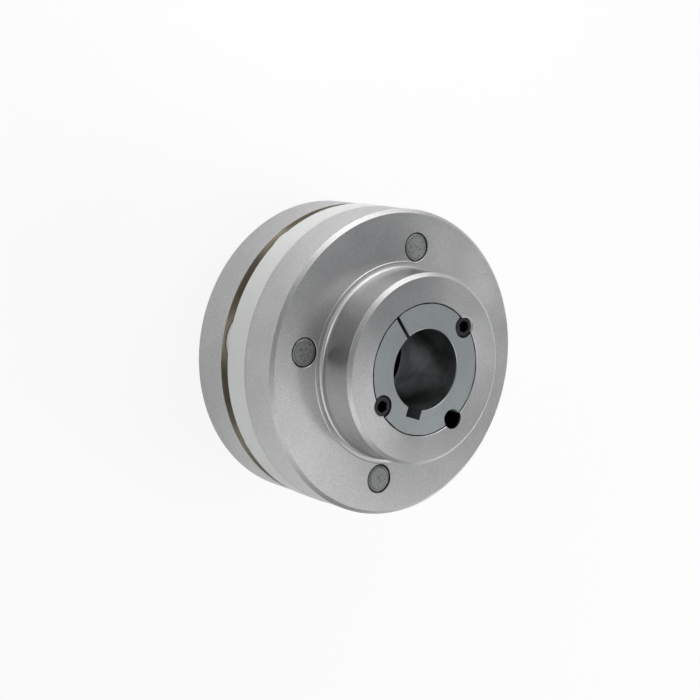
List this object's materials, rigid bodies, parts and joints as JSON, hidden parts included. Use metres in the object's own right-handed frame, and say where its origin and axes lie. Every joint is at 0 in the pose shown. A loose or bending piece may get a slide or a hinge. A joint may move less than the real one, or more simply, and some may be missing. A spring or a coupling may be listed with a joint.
{
  "type": "elastomer coupling",
  "caption": "Flexible shaft coupling: two flanged steel hubs with drive pins in a white moulded disc between them, each hub clamped to its shaft by a tapered split bushing.",
  "frame": {"origin": "centre of the rear hub's end face, on the shaft axis", "axes": "+Z along the shaft axis from the rear hub to the front hub; +Y from the axis through the front bushing's keyway"},
  "size_m": [0.134, 0.134, 0.0945],
  "materials": {
    "hub_steel": "turned and lightly blasted, satin",
    "bushing_iron": "ground, phosphated, satin",
    "black_oxide_steel": "black oxide",
    "pin_steel": "ground, satin",
    "white_elastomer": "moulded, slightly translucent, satin"
  },
  "bodies": {
    "rear_half": {"rear_hub": "hub_steel", "rear_bushing": "bushing_iron", "rear_set_screw_1": "black_oxide_steel", "rear_set_screw_2": "black_oxide_steel", "rear_pin_1": "pin_steel", "rear_pin_2": "pin_steel", "rear_pin_3": "pin_steel", "rear_pin_4": "pin_steel"},
    "disc": {"flex_disc": "white_elastomer"},
    "front_half": {"front_hub": "hub_steel", "front_bushing": "bushing_iron", "front_set_screw_1": "black_oxide_steel", "front_set_screw_2": "black_oxide_steel", "front_pin_1": "pin_steel", "front_pin_2": "pin_steel", "front_pin_3": "pin_steel", "front_pin_4": "pin_steel"}
  },
  "joints": [
    {"name": "torsional_play", "type": "hinge", "parent": "rear_half", "child": "disc", "pos_m": [0, 0, 0.04725], "axis": [0, 0, 1], "range_deg": [-0.4, 0.4]},
    {"name": "draw_off", "type": "slide", "parent": "disc", "child": "front_half", "axis": [0, 0, 1], "range_m": [0, 0.019]}
  ]
}
